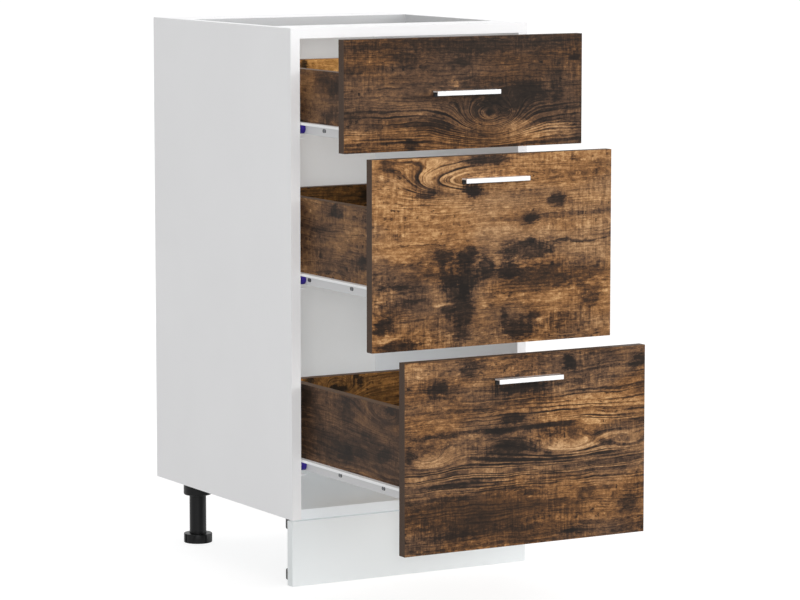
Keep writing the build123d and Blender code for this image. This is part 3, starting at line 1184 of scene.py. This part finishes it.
@dataclass
class Feet:
    """Sockets, levelling feet and their threads."""

    socket_radius: float = 22.0 * MM
    socket_low: float = 75.0 * MM
    socket_high: float = 99.0 * MM
    socket_sides: int = 64
    mouth_round: float = 2.4 * MM
    bore_radius: float = 13.1 * MM
    bore_roof: float = 94.0 * MM
    bore_round: float = 0.5 * MM
    disc_radius: float = 22.0 * MM
    disc_height: float = 14.0 * MM
    disc_round: float = 0.9 * MM
    collar_width: float = 7.5 * MM
    collar_wall: float = 0.8 * MM
    collar_depth: float = 0.6 * MM
    notches: int = 8
    notch_sides: int = 9
    notch_depth: float = 1.3 * MM
    stem_radius: float = 8.0 * MM
    stem_core: float = 0.88
    stem_top: float = 88.0 * MM
    stem_sides: int = 32
    pitch: float = 2.0 * MM
    corners: tuple[str, ...] = ("front_left", "front_right", "back_left", "back_right")

    def axis(self, corner: str) -> Vector:
        """Finds a leg's axis from its foot."""
        low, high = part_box(f"foot_{corner}")
        return Vector(((low.x + high.x) / 2, (low.y + high.y) / 2, 0.0))

    def socket(self) -> Piece:
        """Models a socket: a cup with a rounded mouth and a bore.

        Returns:
            The socket, as a pattern.
        """
        Bench.cylinder(self.socket_radius, self.socket_low, self.socket_high, self.socket_sides)
        Bench.faces(lambda c, n: n.z < -FLAT)
        Bench.inset(self.socket_radius - self.bore_radius)
        bpy.ops.mesh.extrude_region_move(
            TRANSFORM_OT_translate={"value": (0, 0, self.bore_roof - self.socket_low)})
        Bench.ring(self.socket_low, inner=self.socket_radius * 0.9)
        Bench.bevel(self.mouth_round, 4)
        Bench.ring(self.socket_low, outer=self.bore_radius * 1.05)
        Bench.bevel(self.bore_round, 2)
        return Bench.done()

    def disc(self) -> Piece:
        """Models a foot's disc: notched for a spanner, with rounded rims and a sunk collar.

        Returns:
            The disc, as a pattern.
        """
        sides = self.notches * self.notch_sides
        Bench.cylinder(self.disc_radius, 0.0, self.disc_height, sides)

        def notched(centre: Vector, normal: Vector) -> bool:
            """Tells the side faces that are pressed in."""
            turn = math.degrees(math.atan2(centre.y, centre.x)) % (360 / self.notches)
            return abs(normal.z) < 0.5 and turn < 360 / sides * 2

        Bench.faces(notched)
        Bench.press(-self.notch_depth)
        Bench.faces(lambda c, n: n.z > FLAT and c.xy.length < self.disc_radius / 4)
        Bench.inset(self.collar_width)
        Bench.inset(self.collar_wall, -self.collar_depth)
        for level in (0.0, self.disc_height):
            Bench.ring(level, inner=self.disc_radius * 0.9)
            Bench.bevel(self.disc_round)
        return Bench.done()

    def stem(self) -> Piece:
        """Models the threaded stem: one ridge, repeated up the stem.

        Returns:
            The stem, as a pattern.
        """
        low = self.disc_height - self.pitch / 2
        turns = int((self.stem_top - low) / self.pitch)
        Bench.cylinder(self.stem_radius * self.stem_core, low, low + self.pitch, self.stem_sides)
        Bench.faces(lambda c, n: True)
        bpy.ops.mesh.bisect(plane_co=(0, 0, low + self.pitch / 2), plane_no=(0, 0, 1))
        Bench.ring(low + self.pitch / 2)
        bpy.ops.transform.resize(value=(1 / self.stem_core, 1 / self.stem_core, 1))
        Bench.faces(lambda c, n: abs(n.z) > FLAT)
        bpy.ops.mesh.delete(type="FACE")
        bpy.ops.object.mode_set(mode="OBJECT")
        row = bpy.context.object.modifiers.new("turns", "ARRAY")
        row.use_relative_offset = False
        row.use_constant_offset = True
        row.constant_offset_displace = (0, 0, self.pitch)
        row.count = turns
        row.use_merge_vertices = True
        row.merge_threshold = NEAR
        bpy.ops.object.modifier_apply(modifier=row.name)
        for level in (low, low + turns * self.pitch):
            Bench.ring(level)
            bpy.ops.mesh.edge_face_add()
        bpy.ops.mesh.select_all(action="SELECT")
        bpy.ops.mesh.normals_make_consistent(inside=False)
        return Bench.done(30)

    def build(self, plastic: Material) -> None:
        """Models the sockets and feet and puts them under the cabinet.

        Args:
            plastic: Finish of all of them.
        """
        socket, disc, stem = patterns = self.socket(), self.disc(), self.stem()
        places = {corner: Matrix.Translation(self.axis(corner)) for corner in self.corners}
        sockets = Bench.copies(socket, list(places.values()), "leg_sockets_moulded")
        fit(sockets, "carcass", "leg_plastic", plastic, "leg_sockets")
        for corner, place in places.items():
            foot = f"foot_{corner}"
            fit(Bench.copies(disc, [place], f"{foot}_disc"), foot, "leg_plastic", plastic, foot)
            fit(Bench.copies(stem, [place], f"{foot}_thread"), foot, "leg_plastic", plastic)
        Bench.bin(*patterns)
        dress(["leg_tubes", "plinth_clips"], plastic)


@dataclass
class Carcass:
    """The white boards, the back and the cams that hold the boards together."""

    boards: tuple[str, ...] = ("side_panel_left", "side_panel_right", "front_top_rail", "back_top_rail")
    cam: CrossHead = field(default_factory=lambda: CrossHead(7.3 * MM, 0.5 * MM, 1.8 * MM, 0.45 * MM, 32))
    cam_inset: float = 34.0 * MM
    cam_rows: tuple[tuple[str, tuple[float, ...]], ...] = (
        ("bottom_panel", (0.25, 0.75)), ("front_top_rail", (0.5,)), ("back_top_rail", (0.5,)))

    def build(self, board: Material, bottom: Material, plinth: Material, sheet: Material,
              zinc: Material) -> None:
        """Dresses the boards and puts in the cams.

        Args:
            board: Finish of the boards, raw at the rear.
            bottom: Finish of the bottom.
            plinth: Finish of the plinth, white all round.
            sheet: Finish of the back.
            zinc: Finish of the cams.
        """
        dress(self.boards, board)
        dress(["bottom_panel"], bottom)
        dress(["plinth"], plinth)
        dress(["back_panel"], sheet)
        pattern = self.cam.model()
        for name, shares in self.cam_rows:
            low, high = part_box(name)
            ends = (low.x + self.cam_inset, high.x - self.cam_inset)
            places = [facing((x, low.y + (high.y - low.y) * share, low.z), (0, 0, -1))
                      for x in ends for share in shares]
            fit(Bench.copies(pattern, places, f"{name}_cams"), "carcass", "runner_steel", zinc)
        Bench.bin(pattern)


@dataclass
class Runners:
    """Roller runners of one drawer: rails, runners, rollers, screws, and dark discs of painted shade in the
    long holes.
    """

    drawer: str
    sheet: float = 1.2 * MM
    roller_width: float = 6.5 * MM
    roller_radius: float = 7.5 * MM
    roller_round: float = 0.7 * MM
    roller_sides: int = 48
    roller_end: tuple[tuple[float, float], ...] = (
        (1.1 * MM, 0.0), (0.3 * MM, -0.7 * MM), (2.0 * MM, 0.0), (0.2 * MM, 0.6 * MM), (1.0 * MM, 0.0))
    roller_bore: float = 1.5 * MM
    head: CrossHead = field(default_factory=lambda: CrossHead(2.5 * MM, 0.45 * MM, 0.8 * MM, 0.42 * MM))
    hole: SlottedHole = field(default_factory=lambda: SlottedHole(10.0 * MM, 5.4 * MM))
    runner_screws: tuple[float, ...] = (86.0 * MM, 211.0 * MM, 336.0 * MM)
    runner_screw_rise: float = 6.6 * MM
    rail_screws: tuple[float, ...] = (37.0 * MM, 165.0 * MM, 325.0 * MM)

    def roller(self) -> Piece:
        """Models a roller on the X axis: rounded tyre, dished ends, hub and bore.

        Returns:
            The roller, as a pattern.
        """
        half = self.roller_width / 2
        Bench.cylinder(self.roller_radius, -half, half, self.roller_sides, (0, math.pi / 2, 0))
        rim = self.roller_radius * 0.95
        Bench.edges(lambda a, b: abs(abs(a.x) - half) < NEAR and abs(a.x - b.x) < NEAR and a.yz.length > rim)
        Bench.bevel(self.roller_round)
        for side in SIDES.values():
            Bench.faces(lambda c, n: n.x * side > FLAT)
            for thickness, depth in self.roller_end:
                Bench.inset(thickness, depth)
            Bench.press(-self.roller_bore)
        return Bench.done()

    def build(self, paint: Material, plastic: Material, zinc: Material, dark: Material) -> None:
        """Dresses rails and runners, and fits the rollers, the screws and the painted-shade discs of the long
        holes.

        Args:
            paint: Finish of the sheet steel.
            plastic: Finish of the rollers.
            zinc: Finish of the screws.
            dark: Finish of the discs of painted shade in the long holes.
        """
        body = f"drawer_{self.drawer}"
        head, hole, roller = patterns = self.head.model(), self.hole.model(), self.roller()
        for row in ("front", "rear"):
            node = f"{body}_{row}_rollers"
            low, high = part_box(node)
            centre = (low + high) / 2
            places = [Matrix.Translation((sign * (high.x - self.roller_width / 2), centre.y, centre.z))
                      for sign in SIDES.values()]
            fit(Bench.copies(roller, places, f"{node}_moulded"), f"{body}_{row}_roller_pair",
                "roller_plastic", plastic, node)
        for side, sign in SIDES.items():
            rail, runner = f"cabinet_rail_{self.drawer}_{side}", f"{body}_runner_{side}"
            dress([rail, runner], paint)
            low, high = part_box(f"{body}_side_{side}")
            web = (high.x if sign > 0 else -low.x) + self.sheet
            points = [(sign * web, low.y + y, low.z + self.runner_screw_rise) for y in self.runner_screws]
            # The holes are dark discs of painted shade; the screws sit on them.
            for pattern, kind, turn, finish in ((hole, "holes", lengthwise, dark),
                                                (head, "screws", facing, zinc)):
                places = [turn(point, (sign, 0, 0)) for point in points]
                fit(Bench.copies(pattern, places, f"{runner}_{kind}"), body, "runner_steel", finish)
            low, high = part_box(rail)
            wall = (high.x if sign > 0 else -low.x) - self.sheet
            places = [facing((sign * wall, low.y + y, (low.z + high.z) / 2), (-sign, 0, 0))
                      for y in self.rail_screws]
            fit(Bench.copies(head, places, f"{rail}_screws"), "carcass", "runner_steel", zinc)
        Bench.bin(*patterns)


@dataclass
class DrawerBox:
    """One drawer's front, boards, bottom and pull, with the fittings inside."""

    drawer: str
    oak_roughness: float = 0.55
    pull_roughness: float = 0.22
    box_banded: tuple[bool, bool, bool] = (False, False, True)
    box_band: tuple[Colour, ...] = (tint(82, 64, 50), tint(120, 97, 77))
    golden: tuple[Colour, ...] = (
        tint(25, 19, 13), tint(42, 31, 19), tint(63, 45, 25), tint(99, 68, 35), tint(152, 106, 56),
        tint(206, 154, 91), tint(228, 182, 117))
    cam: CrossHead = field(default_factory=lambda: CrossHead(7.3 * MM, 0.4 * MM, 1.8 * MM, 0.36 * MM, 32))
    cam_inset: float = 34.0 * MM
    cam_shares: tuple[float, ...] = (0.3, 0.7)
    pull_screw: CrossHead = field(default_factory=lambda: CrossHead(4.0 * MM, 1.7 * MM, 1.1 * MM, 1.2 * MM))
    pull_screw_half: float = 32.0 * MM
    pull_screw_drop: float = 4.0 * MM

    def oak(self, part: str, run: Run, laid: OakPrint, **looks: tuple) -> None:
        """Dresses one board in oak, its print laid from the board's centre.

        Args:
            part: Which board of the drawer.
            run: Which way its print runs.
            laid: Its print.
            looks: Colours and edges that differ from the front's.
        """
        node = f"drawer_{self.drawer}_{part}"
        low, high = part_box(node)
        middle = (low + high) / 2
        along, across, _ = run.value
        finish = SmokedOak(f"oak_{self.drawer}_{part}", self.oak_roughness, run,
                           (middle[along], middle[across]), laid, **looks)
        dress([node], finish.make())

    def build(self, sheet: Material, zinc: Material) -> None:
        """Dresses the boards and the pull, and fits cams and screws.

        Args:
            sheet: Finish of the bottom.
            zinc: Finish of cams and screws.
        """
        name, body = self.drawer, f"drawer_{self.drawer}"
        box_edges = {"banded": self.box_banded, "band": self.box_band}
        self.oak("front", Run.ACROSS_CABINET, FRONT_PRINTS[name])
        self.oak("back", Run.ACROSS_CABINET, BACK_PRINTS[name], warm=self.golden, **box_edges)
        for side in SIDES:
            self.oak(f"side_{side}", Run.ALONG_DRAWER, SIDE_PRINTS[name], **box_edges)
        dress([f"{body}_bottom"], sheet)
        low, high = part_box(f"{body}_handle")
        dress([f"{body}_handle"], PulledBar(f"pull_{name}", self.pull_roughness, low.y, high.z).make())
        self.fittings(body, zinc)

    def fittings(self, body: str, zinc: Material) -> None:
        """Models the cams in the sides and the screws of the pull.

        Args:
            body: The drawer's body.
            zinc: Finish of cams and screws.
        """
        cam, screw = self.cam.model(), self.pull_screw.model()
        for side, sign in SIDES.items():
            low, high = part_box(f"{body}_side_{side}")
            inner = low.x if sign > 0 else high.x
            places = [facing((inner, low.y + self.cam_inset, low.z + (high.z - low.z) * share), (-sign, 0, 0))
                      for share in self.cam_shares]
            fit(Bench.copies(cam, places, f"{body}_side_{side}_cams"), body, "runner_steel", zinc)
        _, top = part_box(f"{body}_handle")
        _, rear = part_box(f"{body}_front")
        places = [facing((sign * self.pull_screw_half, rear.y, top.z - self.pull_screw_drop), (0, 1, 0))
                  for sign in SIDES.values()]
        fit(Bench.copies(screw, places, f"{body}_handle_screws"), body, "runner_steel", zinc)
        Bench.bin(cam, screw)


@dataclass(frozen=True)
class Lamp:
    """A soft lamp far away: where it stands, its strength and how wide it looks."""

    name: str
    towards: tuple[float, float, float]
    strength: float
    spread: float
    shadows: bool = True

    def hang(self) -> None:
        """Puts the lamp into the scene."""
        light = bpy.data.lights.new(self.name, "SUN")
        light.energy = self.strength
        light.angle = math.radians(self.spread)
        light.use_shadow = self.shadows
        lamp = bpy.data.objects.new(self.name, light)
        lamp.rotation_euler = Vector(self.towards).to_track_quat("Z", "Y").to_euler()
        bpy.context.scene.collection.objects.link(lamp)


@dataclass
class Studio:
    """Pale floor, soft lamps, pale surroundings and the camera, with the key lamp round its lens."""

    eye: tuple[float, float, float] = (-2.63521, -4.58187, 1.04886)
    yaw: float = 30.0247
    pitch: float = 6.9434
    lens: float = 161.112
    sensor: float = 36.0
    sight: float = 200.0
    key_power: float = 195.0
    key_radius: float = 0.3
    surroundings: float = 0.4
    floor_radius: float = 60.0
    floor_sides: int = 96
    floor_glow: float = 0.74
    floor_pale: Colour = (0.36, 0.36, 0.36, 1.0)
    lamps: tuple[Lamp, ...] = (
        Lamp("fill_lamp", (-0.62, -0.48, 0.62), 1.16, 0.0, shadows=False),
        Lamp("right_lamp", (0.9, -0.43, 0.15), 1.95, 30.0),
        Lamp("front_lamp", (0.2, -0.75, 0.6), 0.62, 60.0),
        Lamp("rear_lamp", (0.25, 0.62, 0.74), 0.55, 40.0),
    )

    def build(self) -> None:
        """Sets the stage."""
        for lamp in self.lamps:
            lamp.hang()
        self.key()
        self.surround()
        self.floor()
        self.camera()

    def key(self) -> None:
        """Hangs the key lamp where the camera stands, so that it reaches all that the camera sees."""
        light = bpy.data.lights.new("key_lamp", "POINT")
        light.energy = self.key_power
        light.shadow_soft_size = self.key_radius
        lamp = bpy.data.objects.new("key_lamp", light)
        lamp.location = self.eye
        bpy.context.scene.collection.objects.link(lamp)

    @staticmethod
    def seen(g: Graph) -> Socket:
        """Tells what the camera sees, directly, in a reflection or through glass.

        Args:
            g: The graph of what is seen.

        Returns:
            1 for such a look and 0 for light.
        """
        rays = g.add("ShaderNodeLightPath").outputs
        looks = g.total(rays["Is Camera Ray"], rays["Is Glossy Ray"], rays["Is Transmission Ray"])
        return g.math("MINIMUM", looks, 1.0)

    def surround(self) -> None:
        """Lights the scene all round, and shows white to the camera and in reflections."""
        world = bpy.data.worlds.new("surroundings")
        world.use_nodes = True
        bpy.context.scene.world = world
        g = Graph(world.node_tree)
        g.tree.nodes.clear()
        soft, white = (g.add("ShaderNodeBackground", WHITE, strength).outputs[0]
                       for strength in (self.surroundings, 1.0))
        both = g.add("ShaderNodeMixShader", self.seen(g), soft, white).outputs[0]
        g.add("ShaderNodeOutputWorld", both)

    def floor(self) -> None:
        """Lays the floor, wide enough to fill the picture."""
        Bench.clear()
        bpy.ops.mesh.primitive_circle_add(vertices=self.floor_sides, radius=self.floor_radius,
                                          fill_type="NGON")
        floor = bpy.context.object
        floor.name = "floor"
        material = bpy.data.materials.new("pale_floor")
        material.use_nodes = True
        g = Graph(material.node_tree)
        g.tree.nodes.clear()
        matt = g.add("ShaderNodeBsdfDiffuse", self.floor_pale).outputs[0]
        glow = g.add("ShaderNodeEmission", WHITE, g.times(self.seen(g), self.floor_glow)).outputs[0]
        g.add("ShaderNodeOutputMaterial", g.add("ShaderNodeAddShader", matt, glow).outputs[0])
        floor.data.materials.append(material)

    def camera(self) -> None:
        """Stands the camera where the photograph was taken from."""
        data = bpy.data.cameras.new("camera")
        data.sensor_fit = "HORIZONTAL"
        data.sensor_width = self.sensor
        data.lens = self.lens
        data.clip_end = self.sight
        camera = bpy.data.objects.new("camera", data)
        camera.location = self.eye
        camera.rotation_euler = (math.radians(90 - self.pitch), 0.0, math.radians(-self.yaw))
        bpy.context.scene.collection.objects.link(camera)
        bpy.context.scene.camera = camera


def main() -> None:
    """Builds every sub-assembly in order."""
    logging.basicConfig(level=logging.INFO, format="%(message)s")
    bpy.context.scene.view_settings.view_transform = "Standard"
    board = WhiteBoard("white_melamine", 0.38, True).make()
    # Painted light: the bottom and the plinth are tinted cooler to offset the warm light that the wood
    # bounces onto them; the bottom's front edge also keeps a painted highlight.
    bottom = WhiteBoard("white_bottom", 0.38, True, tint(238, 244, 247), tint(236, 242, 245),
                        tint(243, 248, 251)).make()
    plinth = WhiteBoard("white_plinth", 0.38, False, tint(241, 245, 246), tint(239, 243, 244),
                        tint(240, 244, 245)).make()
    back = FaceSheet("hardboard_back", 0.4).make()
    base = FaceSheet("hardboard_base", 0.4, (0.0, 0.0, -1.0)).make()
    paint = CoatedSteel("white_powder_paint", 0.32).make()
    zinc = ZincPlate("zinc_plate", 0.34).make()
    indigo = Moulded("indigo_nylon", 0.42, tint(52, 38, 132), tint(66, 52, 150)).make()
    black = Moulded("black_plastic", 0.38, tint(10, 10, 11), tint(17, 17, 18), gloss=0.2).make()
    Carcass().build(board, bottom, plinth, back, zinc)
    Feet().build(black)
    for drawer in FRONT_PRINTS:
        DrawerBox(drawer).build(base, zinc)
        Runners(drawer).build(paint, indigo, zinc, black)
    Studio().build()
    log.info("sizes written")


if __name__ == "__main__":
    main()
